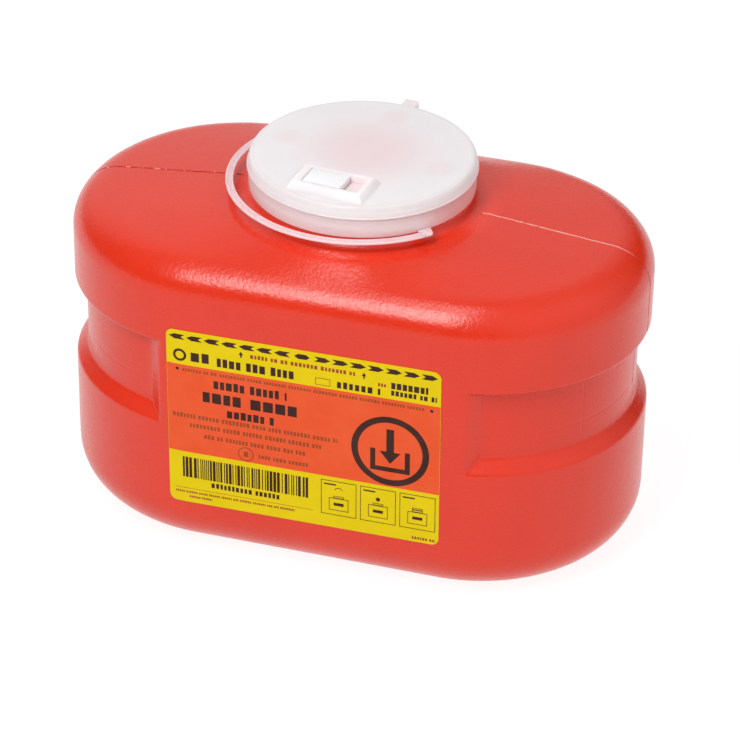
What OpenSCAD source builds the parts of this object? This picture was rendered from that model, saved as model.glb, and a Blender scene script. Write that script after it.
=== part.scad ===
// Sharps container: an oval blow-moulded bottle, a snap-on funnel collar and a tethered cap
// with a slide lock. Millimetres. The origin is the centre of the base, on the surface that
// it stands on. +X runs along the bottle, -Y faces the side with the label.

/* [Bottle] */
// Length of the bottle
bottle_l = 230; // [215:1:245]
// Depth of the bottle, front to back
bottle_d = 131; // [126:1:136]
// Height of the shoulder's top edge
shoulder_z = 130; // [128:0.5:131]
// Wall thickness
wall = 2; // [1.5:0.1:2.4]
// Radius of the rounded edge round the base
foot_r = 20; // [14:1:22]
// How far the shoulder curves inwards
shoulder_in = 17.6; // [15:0.2:18]
// How far the shoulder curves downwards
shoulder_drop = 15.2; // [13:0.2:17]
// Height of the level seat round the neck, from which the top falls away
seat_z = 135.4; // [134.8:0.1:135.8]
// Radius of that seat
seat_r = 46.5; // [45.5:0.1:47]
// Height of the hollow under the base
push_up = 1.4; // [0.5:0.1:2]

/* [Grip recess] */
// Depth of the recess round each end
recess_depth = 4.6; // [3:0.1:5]
// Where the recess starts along the length, measured at the bottle's face
recess_x = 61; // [58:0.5:64]
// Height of the recess's upper edge
recess_top_z = 94; // [90:0.5:98]
// Height of the lower ledge at its outer edge
ledge_outer_z = 58; // [54:0.5:60]
// Height of the lower ledge at its inner edge
ledge_inner_z = 63; // [61:0.5:66]

/* [Neck] */
// Outer radius of the neck under the collar
neck_r = 40.6; // [40.2:0.1:40.8]
// Height of the neck's rim
neck_top_z = 146.9; // [146.9:0.1:146.9]
// Radius of the neck's root
neck_root_r = 42; // [41.5:0.1:42.4]

/* [Collar and funnel] */
// Outer radius of the collar
collar_r = 43.9; // [43.7:0.1:43.9]
// Height of the collar's lower edge
collar_z = 140.3; // [140.1:0.1:140.6]
// Radius of the funnel's mouth
mouth_r = 26.2; // [26:0.1:27]
// Radius of the drop opening at the foot of the funnel
drop_r = 20; // [18:0.5:21]
// Height of the funnel's foot
funnel_z = 132; // [130:0.5:134]
// Distance of the lock windows from the centre
window_r = 31.5; // [31:0.1:32]

/* [Cap] */
// How far the lid is turned about the neck, in degrees
lid_turn = -6; // [-10:1:0]
// Height of the cap's flat top
cap_z = 153.2; // [153.2:0.1:153.6]
// Radius of the cap's lower edge
cap_r = 44.6; // [44.4:0.1:44.8]
// Outer radius of the plug ring under the cap
plug_r = 25; // [24.6:0.1:25.1]
// Half the width of the hinge tab
tab_half = 2.9; // [2.5:0.1:3]
// How far the tab reaches behind the centre
tab_y = 50.2; // [49.8:0.1:51]
// Height of the raised bezel
bezel_h = 3; // [2.6:0.1:3.4]

/* [Slide lock] */
// Length of the slide's block
slide_l = 15.4; // [14:0.2:15.4]
// Width of the slide's block
slide_w = 10.5; // [9.5:0.1:10.5]

/* [Tether] */
// Width of the tether strap
strap_w = 3; // [2.6:0.1:3]
// Thickness of the tether strap
strap_t = 1; // [0.8:0.1:1.2]
// Height of the strap where it lies flat round the collar
strap_z = 140.6; // [140.4:0.1:140.8]

/* [Label] */
// Width of the label
label_w = 109; // [100:1:112]
// Height of the label
label_h = 77.6; // [70:0.2:78]
// Thickness of the label film
label_t = 0.25; // [0.15:0.05:0.4]
// How far the label is turned on the bottle's face, in degrees
label_turn = 0.5; // [-1:0.1:1]

/* [Hidden] */

end_r = bottle_d / 2;
half_straight = bottle_l / 2 - end_r;
flat_r = end_r - shoulder_in;
join_z = 100;
neck_bore_r = neck_r - wall;

recess_top_rise = 2.5;
ledge_slope = (ledge_inner_z - ledge_outer_z) / recess_depth;
recess_end_lean = 0.87;
cut_out = 5;

web_t = 1.4;
web_top_z = neck_top_z + web_t;
rim_r = 41.2;
rim_wall = 1.4;
rim_top_z = 150.8;
funnel_wall = 1.5;
window_w = 9.2;
window_d = 5.4;

cap_under_z = cap_z - 1.6;
cap_edge_z = 148.2;
skirt_wall = 2.4;
prong_w = 6;
prong_t = 2.4;
prong_z = 147.3;
tab_z = 149.3;
tab_t = 2.7;

bezel_y = -29.2;
bezel_base = [31, 18.6];
bezel_top = [27.7, 15];
slide_window_x = [-10.6, 12];
slide_window_y = [-35, -23.9];
slot_x = [-4.5, 4.3];
slot_y = [-33.2, -29.8];

slide_x = -10.2;
slide_y = -34.7;
slide_lift = 0.3;
shank_x = -4.1;
shank_t = 1.2;
shank_y = -32.8;
shank_w = 2.6;
foot_l = 8.2;
foot_z = 145.3;
foot_t = 1.2;
keeper_z = 150.2;
keeper_t = 1.1;

hinge_y = 47;
hinge_z = 148.8;
strap_centre = [-2.05, 1.87];
strap_r = 49.93;
strap_start = -40.3;
strap_leave = -205;
strap_end_gap = 0.4;
strap_steps = 84;
// The strap meets the cap's tab on the hinge line, just clear of the tab's side.
strap_end = turned([-tab_half - strap_end_gap, hinge_y], lid_turn) - strap_centre;
strap_end_r = norm(strap_end);
strap_stop = atan2(strap_end[1], strap_end[0]) - 360;

label_centre = [-2.75, 63];
label_corner = 3;

bottle_red = [0.87, 0.22, 0.17];
milky = [0.93, 0.90, 0.91];
slide_white = [0.96, 0.96, 0.95];
film_yellow = [0.93, 0.83, 0.10];

$fn = 96;

function turned(p, a) = [p[0] * cos(a) - p[1] * sin(a), p[0] * sin(a) + p[1] * cos(a)];
function ease(k) = k * k * (3 - 2 * k);
function clamp(k) = min(max(k, 0), 1);
function arc(c, rx, ry, from, to, n) = [
    for (i = [0:n])
        let (a = from + (to - from) * i / n)
            [c[0] + rx * cos(a), c[1] + ry * sin(a)]
];

// Half section of the bottle's lower part, moved in by t: t = 0 is the outside, and t = wall
// the inside.
function lower_outline(t) = concat(
    [[0, push_up + t], [end_r - foot_r - 8, push_up + t], [end_r - foot_r - 5, t]],
    arc([end_r - foot_r, foot_r], foot_r - t, foot_r - t, -90, 0, 8),
    [[end_r - t, join_z + 0.1], [0, join_z + 0.1]]
);

// Half section of its upper part, moved in by t, as far as the shoulder.
function upper_outline(t) = concat(
    [[0, join_z], [end_r - t, join_z]],
    arc([flat_r, shoulder_z - shoulder_drop], shoulder_in - t, shoulder_drop - t, 0, 90, 9)
);

// A half section swept round both ends and along the straight middle.
module oval(outline) {
    for (side = [-1, 1])
        translate([side * half_straight, 0, 0])
            rotate([0, 0, side * -90])
                rotate_extrude(angle = 180)
                    polygon(outline);
    rotate([90, 0, 90])
        linear_extrude(2 * half_straight, center = true)
            union() {
                polygon(outline);
                mirror([1, 0])
                    polygon(outline);
            }
}

// The bottle's solid without its neck: the top rises straight from the shoulder to the seat.
module blank(t) {
    oval(lower_outline(t));
    hull() {
        oval(upper_outline(t));
        translate([0, 0, shoulder_z - t])
            cylinder(h = seat_z - shoulder_z, r = seat_r);
    }
}

// The grip recess at both ends, with every face moved out by g.
module recess(g) {
    inner = end_r - recess_depth - g;
    outer = end_r + cut_out;
    section = [
        [inner, ledge_inner_z - g * norm([1, ledge_slope])],
        [inner, recess_top_z - recess_top_rise + g],
        [outer, recess_top_z + cut_out * recess_top_rise / recess_depth + g],
        [outer, ledge_outer_z - cut_out * ledge_slope - g * norm([1, ledge_slope])]
    ];
    far = bottle_l / 2 + cut_out;
    near_x = recess_x - recess_end_lean * cut_out - g * norm([1, recess_end_lean]);
    back_x = near_x + recess_end_lean * 30;
    edge_y = end_r + cut_out - 1;
    for (side = [-1, 1])
        intersection() {
            translate([side * half_straight, 0, 0])
                rotate([0, 0, side * -90])
                    rotate_extrude(angle = 180)
                        polygon(section);
            linear_extrude(bottle_l)
                polygon([
                    [side * near_x, -edge_y], [side * back_x, 30 - edge_y],
                    [side * back_x, edge_y - 30], [side * near_x, edge_y],
                    [side * far, edge_y], [side * far, -edge_y]
                ]);
        }
}

// The neck as a solid of revolution, with its flared root and the snap bead.
module neck_blank() {
    rotate_extrude()
        polygon(concat(
            [[0, 118], [seat_r, 118]],
            arc([seat_r, 139.4], neck_root_r - seat_r, seat_z - 139.4, 90, 0, 6),
            [
                [neck_r, 139.4], [neck_r, 143], [neck_r + 1.5, 143.6],
                [neck_r + 1.5, 144.6], [neck_r, 145.6], [neck_r, neck_top_z], [0, neck_top_z]
            ]
        ));
}

module container_body() {
    color(bottle_red)
        difference() {
            union() {
                blank(0);
                neck_blank();
            }
            recess(0);
            difference() {
                blank(wall);
                recess(wall);
            }
            translate([0, 0, 110])
                cylinder(h = neck_top_z, r = neck_bore_r);
        }
}

// Collar that snaps over the neck's bead, with the funnel that leads into the bottle.
module funnel_collar() {
    skirt_in = neck_r + 1.9;
    section = [
        [skirt_in + 0.2, collar_z], [collar_r - 0.3, collar_z], [collar_r, collar_z + 0.3],
        [collar_r, web_top_z - 0.5], [rim_r, web_top_z - 0.5], [rim_r, rim_top_z - 0.4],
        [rim_r - 0.4, rim_top_z], [rim_r - rim_wall, rim_top_z], [rim_r - rim_wall, web_top_z],
        [mouth_r + 1, web_top_z], [mouth_r, web_top_z - 1], [drop_r, funnel_z],
        [drop_r + funnel_wall, funnel_z], [mouth_r + funnel_wall, neck_top_z],
        [skirt_in, neck_top_z], [skirt_in, 142.6], [neck_r + 0.5, 142],
        [neck_r + 0.5, 141.2]
    ];
    color(milky)
        rotate([0, 0, lid_turn])
            difference() {
                rotate_extrude()
                    polygon(section);
                for (a = [0:90:270])
                    rotate([0, 0, a])
                        translate([window_r, 0, web_top_z])
                            cube([window_d, window_w, 6], center = true);
            }
}

// The bezel's block: sloping sides cut from two crossed trapezoid bars.
module bezel_block() {
    module bar(base, top, depth) {
        rotate([90, 0, 0])
            linear_extrude(depth, center = true)
                polygon([
                    [-base / 2, -0.8], [base / 2, -0.8], [base / 2, 0],
                    [top / 2, bezel_h], [-top / 2, bezel_h], [-base / 2, 0]
                ]);
    }
    translate([0, bezel_y, cap_z])
        intersection() {
            bar(bezel_base[0], bezel_top[0], 40);
            rotate([0, 0, 90])
                bar(bezel_base[1], bezel_top[1], 60);
        }
}

module cap() {
    section = [
        [0, cap_z], [42.4, cap_z], [43, cap_z - 0.3], [43.3, cap_z - 1],
        [cap_r - 0.25, cap_edge_z + 0.7], [cap_r, cap_edge_z + 0.5], [cap_r, cap_edge_z],
        [cap_r - skirt_wall, cap_edge_z], [cap_r - skirt_wall, cap_under_z],
        [plug_r, cap_under_z], [plug_r, 145.6], [plug_r - 0.4, 145], [plug_r - 1.6, 145],
        [plug_r - 1.6, cap_under_z], [0, cap_under_z]
    ];
    window = [slide_window_x[1] - slide_window_x[0], slide_window_y[1] - slide_window_y[0]];
    slot = [slot_x[1] - slot_x[0], slot_y[1] - slot_y[0]];
    color(milky)
        rotate([0, 0, lid_turn]) {
            difference() {
                union() {
                    rotate_extrude()
                        polygon(section);
                    bezel_block();
                    translate([-tab_half, 42.8, tab_z])
                        cube([2 * tab_half, tab_y - 42.8, tab_t]);
                    for (a = [0, 90, 180])
                        rotate([0, 0, a])
                            translate([window_r - prong_t / 2, -prong_w / 2, prong_z])
                                cube([prong_t, prong_w, cap_under_z + 0.4 - prong_z]);
                }
                translate([slide_window_x[0], slide_window_y[0], cap_z])
                    cube([window[0], window[1], bezel_h + 1]);
                translate([slot_x[0], slot_y[0], cap_under_z - 1])
                    cube([slot[0], slot[1], 4]);
            }
        }
}

// Block in the bezel, shank through the cap, keeper under it and a foot that locks under
// the collar's web.
module lock_slide() {
    color(slide_white)
        rotate([0, 0, lid_turn])
            union() {
                translate([slide_x, slide_y, cap_z + slide_lift])
                    cube([slide_l, slide_w, bezel_h - slide_lift + 0.1]);
                translate([shank_x, shank_y, foot_z])
                    cube([shank_t, shank_w, cap_z + slide_lift + 0.5 - foot_z]);
                translate([shank_x, shank_y, foot_z])
                    cube([foot_l, shank_w, foot_t]);
                translate([shank_x - 1.4, shank_y - 1.6, keeper_z])
                    cube([5, shank_w + 3.2, keeper_t]);
            }
}

// Centre of the strap's section at angle a: flat round the collar, then up to the tab.
function strap_at(a) =
    let (k = ease(clamp((strap_leave - a) / (strap_leave - strap_stop))))
        [strap_r + (strap_end_r - strap_r) * k, strap_z + (hinge_z - strap_z) * k];

module tether_strap() {
    corners = [[-1, -1], [1, -1], [1, 1], [-1, 1]];
    points = [
        for (i = [0:strap_steps])
            let (a = strap_start + (strap_stop - strap_start) * i / strap_steps, c = strap_at(a))
                for (q = corners)
                    let (r = c[0] + q[0] * strap_w / 2)
                        [
                            strap_centre[0] + r * cos(a), strap_centre[1] + r * sin(a),
                            c[1] + q[1] * strap_t / 2
                        ]
    ];
    sides = [
        for (i = [0:strap_steps - 1])
            for (j = [0:3])
                let (k = (j + 1) % 4)
                    [4 * i + j, 4 * i + 4 + j, 4 * i + 4 + k, 4 * i + k]
    ];
    last = 4 * strap_steps;
    color(milky) {
        polyhedron(points, concat(sides, [[0, 1, 2, 3], [last + 3, last + 2, last + 1, last]]));
        rotate([0, 0, -44.4])
            rotate_extrude(angle = 4.2)
                translate([collar_r, strap_z - strap_t / 2])
                    square([2.2, strap_t]);
    }
}

// Rounded outline with true arcs at its corners.
module rounded(w, h, r) {
    square([w - 2 * r, h], center = true);
    square([w, h - 2 * r], center = true);
    for (x = [-1, 1], y = [-1, 1])
        translate([x * (w / 2 - r), y * (h / 2 - r)])
            circle(r);
}

module oval_prism(r) {
    linear_extrude(120) {
        square([2 * half_straight, 2 * r], center = true);
        for (side = [-1, 1])
            translate([side * half_straight, 0])
                circle(r);
    }
}

// Film that follows the bottle's front face.
module front_label() {
    color(film_yellow)
        intersection() {
            translate([label_centre[0], -end_r + 10, label_centre[1]])
                rotate([90, -label_turn, 0])
                    linear_extrude(20)
                        rounded(label_w, label_h, label_corner);
            difference() {
                oval_prism(end_r + label_t);
                oval_prism(end_r);
            }
        }
}

container_body();
funnel_collar();
cap();
lock_slide();
tether_strap();
front_label();
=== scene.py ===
"""The looks of a sharps container: an oval red bottle with a milky snap-on lid and a label.

Sizes are in millimetres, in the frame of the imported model, and become metres in the meshes.
"""
import random
from math import acos, atan2, cos, degrees, exp, hypot, inf, pi, radians, sin, sqrt, tau

import bmesh
import bpy
from mathutils import Matrix, Vector, noise


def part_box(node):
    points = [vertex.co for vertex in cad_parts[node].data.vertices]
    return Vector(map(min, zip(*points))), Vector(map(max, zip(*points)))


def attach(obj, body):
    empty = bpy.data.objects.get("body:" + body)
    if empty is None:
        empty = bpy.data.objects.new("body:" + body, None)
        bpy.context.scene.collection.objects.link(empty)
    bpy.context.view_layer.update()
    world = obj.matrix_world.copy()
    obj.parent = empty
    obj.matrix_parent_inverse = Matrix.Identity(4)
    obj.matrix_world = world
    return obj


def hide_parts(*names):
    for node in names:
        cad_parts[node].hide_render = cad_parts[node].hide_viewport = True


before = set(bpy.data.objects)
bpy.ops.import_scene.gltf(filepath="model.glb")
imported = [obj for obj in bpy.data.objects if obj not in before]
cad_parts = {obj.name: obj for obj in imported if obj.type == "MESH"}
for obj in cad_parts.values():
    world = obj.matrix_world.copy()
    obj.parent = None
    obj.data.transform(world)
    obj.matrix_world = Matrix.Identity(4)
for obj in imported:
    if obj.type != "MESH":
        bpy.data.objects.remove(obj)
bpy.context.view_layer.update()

MM = 0.001

# ---------- sizes

BODY_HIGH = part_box("container_body")[1] / MM
END_R = BODY_HIGH.y                       # radius of the rounded ends
HALF_STRAIGHT = BODY_HIGH.x - END_R       # half the straight stretch between them
NECK_TOP_Z = BODY_HIGH.z
WALL = 2.0
FOOT_R = 20.0
PUSH_UP = 1.4                             # hollow under the base
RING_INNER, RING_RISE = 40.5, 3.0         # inside of the standing ring, and its slope's width
SHOULDER_Z = 130.0
SHOULDER_IN, SHOULDER_DROP = 17.6, 15.2
SEAT_R, SEAT_Z = 46.5, 135.4              # level ring round the neck; the top falls from it
VALLEY_R, VALLEY_W, VALLEY_DEPTH = 48.2, 1.7, 0.3     # faint dip round the seat

RECESS_DEPTH = 4.6
RECESS_X = 61.0
RECESS_LEAN, RECESS_RUN = 0.87, 25.0      # slope of its end in plan, and its reach
RECESS_TOP_Z, RECESS_TOP_RISE = 94.0, 2.5
LEDGE_OUTER_Z, LEDGE_INNER_Z = 58.0, 63.0
RECESS_SOFT = 0.9                         # rounding of the recess's edges
LIP_Z, LIP_RISE, LIP_SOFT = 84.0, 6.0, 2.0    # over this its outer edge softens
GROOVE_W = 0.35                           # half width of the mould's marks
SEAM_Z = 72.5                             # mould joint round the bottle
INSERT_TURN = 54.5                        # mould insert's edge in the right recess, in degrees

NECK_R, NECK_ROOT_R, NECK_BASE_Z = 40.6, 42.0, 139.4
BEAD_R, BEAD_Z = 42.1, 144.1

LID_TURN = radians(-6)                    # the lid's own turn about the neck
COLLAR_R, COLLAR_Z = 43.9, 140.3
WEB_Z = 148.3
RIM_R, RIM_Z = 41.2, 150.8
MOUTH_R, DROP_R, FUNNEL_Z = 26.2, 20.0, 132.0
WINDOW_R, WINDOW_W, WINDOW_D = 31.5, 9.2, 5.4

CAP_Z, CAP_R, CAP_EDGE_Z = 153.2, 44.6, 148.2
CAP_UNDER_Z = 151.6
PLUG_R, PLUG_Z = 25.0, 145.0
PRONG_Z = 147.3
TAB_HALF, TAB_Y, TAB_Z, TAB_TOP_Z = 2.9, 50.2, 149.3, 152.0
BEZEL_Y, BEZEL_H = -29.2, 3.0
BEZEL_BASE, BEZEL_TOP_X = (31.0, 18.6), 27.7
RECESS_AT = (8.2, -29.4)                  # middle of the bezel's open part
OPENING_X, OPENING_Y = (-10.6, 12.0), (-35.0, -23.9)
SLOT_X, SLOT_Y = (-4.5, 4.3), (-33.2, -29.8)

BLOCK_X, BLOCK_Y = (-10.2, 5.2), (-34.7, -24.2)
BLOCK_Z = (153.5, 156.3)
SHANK_X, SHANK_Y = (-4.1, -2.9), (-32.8, -30.2)
HOOK_X, HOOK_Z = 4.1, (145.3, 146.5)
KEEPER_X, KEEPER_Y, KEEPER_Z = (-5.5, -0.5), (-34.4, -28.6), (150.2, 151.3)

STRAP_CENTRE = (-2.05, 1.87)
STRAP_R, STRAP_Z = 49.93, 140.6
STRAP_W, STRAP_T = 3.0, 1.0
STRAP_START, STRAP_LEAVE = -43.6, -205.0
HINGE_Y, HINGE_Z = 47.0, 148.8
STRAP_GAP = 0.4
STRAP_TIP = -40.0                         # where the hairpin at its root ends

LABEL_W, LABEL_H, LABEL_CORNER = 109.0, 77.6, 3.0
LABEL_CENTRE = (-2.75, 63.0)
LABEL_TURN = radians(0.5)
LABEL_T, INK_T = 0.25, 0.05

# ---------- meshes

SHARP = 40                                # degrees; edges over this stay sharp
LATHE_STEPS = 192


def add_object(name, data):
    """A new object in the scene."""
    added = bpy.data.objects.new(name, data)
    bpy.context.scene.collection.objects.link(added)
    return added


def make_object(name, mesh, body, material, replaced=()):
    """A piece that rides on a body, with its finish and the CAD nodes that it stands for."""
    piece = add_object(name, mesh)
    mesh.materials.clear()
    mesh.materials.append(material)
    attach(piece, body)
    if replaced:
        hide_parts(*replaced)
    return piece


def mesh_from(name, points, faces, sharp):
    """A smooth-shaded mesh from points in millimetres, with edges over the sharp angle kept."""
    mesh = bpy.data.meshes.new(name)
    mesh.from_pydata([tuple(c * MM for c in p) for p in points], [], faces)
    bm = bmesh.new()
    bm.from_mesh(mesh)
    bmesh.ops.remove_doubles(bm, verts=bm.verts, dist=0.002 * MM)
    bmesh.ops.dissolve_degenerate(bm, edges=bm.edges, dist=0.001 * MM)
    bmesh.ops.recalc_face_normals(bm, faces=bm.faces)
    bm.to_mesh(mesh)
    bm.free()
    shade(mesh, sharp)
    return mesh


def shade(mesh, sharp=SHARP):
    """Smooth shading, with edges over the sharp angle kept."""
    mesh.shade_smooth()
    mesh.set_sharp_from_angle(angle=radians(sharp))


def loft(name, rings, closed=False, capped=True, sharp=SHARP):
    """A skin over rings of equal count. It joins its last ring to its first, or is capped."""
    count = len(rings[0])
    points = [p for ring in rings for p in ring]
    spans = range(len(rings) if closed else len(rings) - 1)
    faces = []
    for i in spans:
        a, b = i * count, (i + 1) % len(rings) * count
        for j in range(count):
            k = (j + 1) % count
            faces.append((a + j, a + k, b + k, b + j))
    if capped and not closed:
        faces.append(tuple(reversed(range(count))))
        faces.append(tuple(range((len(rings) - 1) * count, len(rings) * count)))
    return mesh_from(name, points, faces, sharp)


def soften(outline, reach, steps=4):
    """A closed outline with its corners rounded; reach is one length, or one for each corner."""
    reaches = reach if isinstance(reach, (list, tuple)) else [reach] * len(outline)
    corners = [Vector(p) for p in outline]
    rounded = []
    for i, corner in enumerate(corners):
        before, after = corners[i - 1] - corner, corners[(i + 1) % len(corners)] - corner
        cut = min(reaches[i], 0.45 * before.length, 0.45 * after.length)
        if cut <= 0:
            rounded.append(tuple(corner))
            continue
        start, end = corner + before.normalized() * cut, corner + after.normalized() * cut
        for s in range(steps + 1):
            t = s / steps
            point = start * (1 - t) ** 2 + corner * (2 * t * (1 - t)) + end * t ** 2
            rounded.append(tuple(point))
    return rounded


def lathe(name, outline):
    """A closed (radius, height) outline turned about the neck's axis."""
    turns = [tau * i / LATHE_STEPS for i in range(LATHE_STEPS)]
    rings = [[(*on_circle((0, 0), radius, a), z) for a in turns] for radius, z in outline]
    return loft(name, rings, closed=True)


def rounded_rectangle(x, y, radius, z, steps=4):
    """A ring round the rectangle from x[0], y[0] to x[1], y[1]."""
    ring = []
    centres = (
        (x[1] - radius, y[1] - radius, 0), (x[0] + radius, y[1] - radius, 90),
        (x[0] + radius, y[0] + radius, 180), (x[1] - radius, y[0] + radius, 270),
    )
    for cx, cy, start in centres:
        for i in range(steps + 1):
            a = radians(start + 90 * i / steps)
            ring.append((*on_circle((cx, cy), radius, a), z))
    return ring


def rounded_block(name, x, y, z, edge, corner):
    """A box with rounded corners and edges."""
    rings = []
    for at, turn in ((z[0], -1), (z[1], 1)):
        for lean in (0, 30, 60, 90)[::turn]:
            a = radians(lean)
            inset = edge * (1 - cos(a))
            height = at - turn * edge * (1 - sin(a))
            rings.append(rounded_rectangle(
                (x[0] + inset, x[1] - inset), (y[0] + inset, y[1] - inset),
                max(corner - inset, 0.05), height))
    return loft(name, rings)


def combine(name, base, others, operation):
    """One mesh: base joined to, or cut by, the other meshes."""
    holder = add_object("work_base", base)
    tools = []
    for other in others:
        tool = add_object("work_tool", other)
        modifier = holder.modifiers.new("combine", "BOOLEAN")
        modifier.operation = operation
        modifier.object = tool
        modifier.solver = "EXACT"
        tools.append(tool)
    bpy.context.view_layer.update()
    graph = bpy.context.evaluated_depsgraph_get()
    mesh = bpy.data.meshes.new_from_object(holder.evaluated_get(graph))
    mesh.name = name
    for tool in tools + [holder]:
        used = tool.data
        bpy.data.objects.remove(tool)
        bpy.data.meshes.remove(used)
    shade(mesh)
    return mesh


def turn_mesh(mesh, angle):
    """The mesh turned about the neck's axis."""
    mesh.transform(Matrix.Rotation(angle, 4, "Z"))
    return mesh


def turned(x, y, angle):
    return (x * cos(angle) - y * sin(angle), x * sin(angle) + y * cos(angle))


def on_circle(centre, radius, angle):
    return centre[0] + radius * cos(angle), centre[1] + radius * sin(angle)


def mix(a, b, t):
    return a + (b - a) * t


def smoothstep(t):
    t = min(max(t, 0.0), 1.0)
    return t * t * (3 - 2 * t)


def soft_min(a, b, k):
    h = max(k - abs(a - b), 0.0) / k
    return min(a, b) - h * h * k / 4


def soft_max(a, b, k):
    return -soft_min(-a, -b, k)


def spread(start, stop, count, power=1.0):
    """count numbers after start, up to stop."""
    return [start + (stop - start) * (i / count) ** power for i in range(1, count + 1)]


# ---------- materials


class Nodes:
    """A new material, and short ways to add its nodes."""

    def __init__(self, name, roughness, **inputs):
        self.material = bpy.data.materials.new(name)
        self.material.use_nodes = True
        self.tree = self.material.node_tree
        self.shader = next(n for n in self.tree.nodes if n.type == "BSDF_PRINCIPLED")
        self.shader.inputs["Roughness"].default_value = roughness
        for key, value in inputs.items():
            self.shader.inputs[key.replace("_", " ")].default_value = value
        self.place = self.add("ShaderNodeTexCoord").outputs["Object"]

    def add(self, kind, **settings):
        node = self.tree.nodes.new(kind)
        for key, value in settings.items():
            setattr(node, key, value)
        return node

    def link(self, source, target):
        self.tree.links.new(source, target)

    def math(self, operation, a, b):
        node = self.add("ShaderNodeMath", operation=operation)
        for i, value in enumerate((a, b)):
            if isinstance(value, (int, float)):
                node.inputs[i].default_value = value
            else:
                self.link(value, node.inputs[i])
        return node.outputs[0]

    def axis(self, name):
        node = self.add("ShaderNodeSeparateXYZ")
        self.link(self.place, node.inputs[0])
        return node.outputs[name]

    def noise(self, size_mm, detail=2.0, rough=0.5, stretch=(1, 1, 1)):
        """Noise from 0 to 1 with features of about this size."""
        scaled = self.add("ShaderNodeMapping")
        self.link(self.place, scaled.inputs["Vector"])
        scaled.inputs["Scale"].default_value = stretch
        node = self.add("ShaderNodeTexNoise")
        self.link(scaled.outputs[0], node.inputs["Vector"])
        node.inputs["Scale"].default_value = 1 / (size_mm * MM)
        node.inputs["Detail"].default_value = detail
        node.inputs["Roughness"].default_value = rough
        return node.outputs["Fac"]

    def remap(self, value, low, high, to_low=0.0, to_high=1.0):
        """A soft step: to_low where the value is low, and to_high where it is high."""
        node = self.add("ShaderNodeMapRange", interpolation_type="SMOOTHSTEP")
        self.link(value, node.inputs["Value"])
        limits = {"From Min": low, "From Max": high, "To Min": to_low, "To Max": to_high}
        for key, limit in limits.items():
            node.inputs[key].default_value = limit
        return node.outputs["Result"]

    def blend(self, factor, a, b):
        """Colour a where factor is 0, and b where it is 1."""
        node = self.add("ShaderNodeMix", data_type="RGBA")
        self.link(factor, node.inputs["Factor"])
        for socket, value in (("A", a), ("B", b)):
            target = next(s for s in node.inputs if s.name == socket and s.type == "RGBA")
            if isinstance(value, tuple):
                target.default_value = (*value, 1.0)
            else:
                self.link(value, target)
        return next(s for s in node.outputs if s.type == "RGBA")

    def tint(self, colour, where, share, other):
        """The colour, moved by this share to the other where the mask is 1."""
        return self.blend(self.math("MULTIPLY", where, share), colour, other)

    def colour(self, source):
        self.link(source, self.shader.inputs["Base Color"])

    def rough(self, source):
        self.link(source, self.shader.inputs["Roughness"])

    def bump(self, *layers):
        """Bump from (noise, depth in mm) pairs, one over another."""
        normal = None
        for height, depth in layers:
            node = self.add("ShaderNodeBump")
            node.inputs["Strength"].default_value = 1.0
            node.inputs["Distance"].default_value = depth * MM
            self.link(height, node.inputs["Height"])
            if normal is not None:
                self.link(normal, node.inputs["Normal"])
            normal = node.outputs["Normal"]
        self.link(normal, self.shader.inputs["Normal"])

    def radius(self, centre=(0, 0)):
        """Distance from an upright line, in metres."""
        apart = self.add("ShaderNodeVectorMath", operation="MULTIPLY_ADD")
        self.link(self.place, apart.inputs[0])
        apart.inputs[1].default_value = (1, 1, 0)
        apart.inputs[2].default_value = (-centre[0] * MM, -centre[1] * MM, 0)
        length = self.add("ShaderNodeVectorMath", operation="LENGTH")
        self.link(apart.outputs[0], length.inputs[0])
        return length.outputs["Value"]


def red_plastic():
    """Blow-moulded polyethylene: strong red, satin, with a fine mottled grain."""
    m = Nodes("red_plastic", 0.25, Specular_IOR_Level=0.5)
    cloudy = m.remap(m.noise(38, 3, 0.55), 0.3, 0.7)
    deep = m.blend(cloudy, (0.665, 0.0215, 0.0018), (0.695, 0.0255, 0.0028))
    streaks = m.remap(m.noise(6, 2, 0.5, stretch=(1, 1, 0.12)), 0.35, 0.75)
    colour = m.tint(deep, streaks, 0.25, (0.71, 0.030, 0.005))
    # Painted light: the red is made brighter round the neck, for the light that comes through the
    # milky lid and strap and reaches the shoulder.
    neck_painted_light = m.math("MULTIPLY", m.remap(m.radius(), 0.056, 0.047), m.remap(m.axis("Z"), 0.120, 0.134))
    m.colour(m.blend(neck_painted_light, colour, (0.76, 0.030, 0.006)))
    m.rough(m.remap(m.noise(1.9, 3, 0.6), 0.3, 0.7, 0.22, 0.28))
    m.bump((m.noise(4.2, 2, 0.45), 0.03), (m.noise(1.3, 2, 0.5), 0.11))
    return m.material


def flash_plastic():
    """The thin flash on the parting line, rough; its darker red is painted shade along the seam,
    and it is paler on top of the right side, partly scraped and partly a painted highlight.
    """
    m = Nodes("flash_plastic", 0.4)
    scraped_and_highlit = m.remap(m.noise(2.4, 3, 0.6), 0.30, 0.46)
    right = m.remap(m.axis("X"), 0.0, 0.01)
    upper = m.remap(m.axis("Z"), 0.125, 0.131)
    specks = m.remap(m.noise(1.6, 2, 0.5), 0.56, 0.61)
    left = m.math("MULTIPLY", specks, m.math("SUBTRACT", 1.0, right))
    # Paler on top of the right-hand side: partly scraped plastic, partly a painted highlight; pale
    # specks on the left.
    pale = m.math("MAXIMUM", m.math("MULTIPLY", scraped_and_highlit, m.math("MULTIPLY", right, upper)), left)
    # Darker red than the bottle: painted shade, the dark line along the seam.
    m.colour(m.blend(pale, (0.42, 0.015, 0.010), (0.84, 0.42, 0.38)))
    m.bump((m.noise(1.1, 2, 0.5), 0.05))
    return m.material


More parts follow.
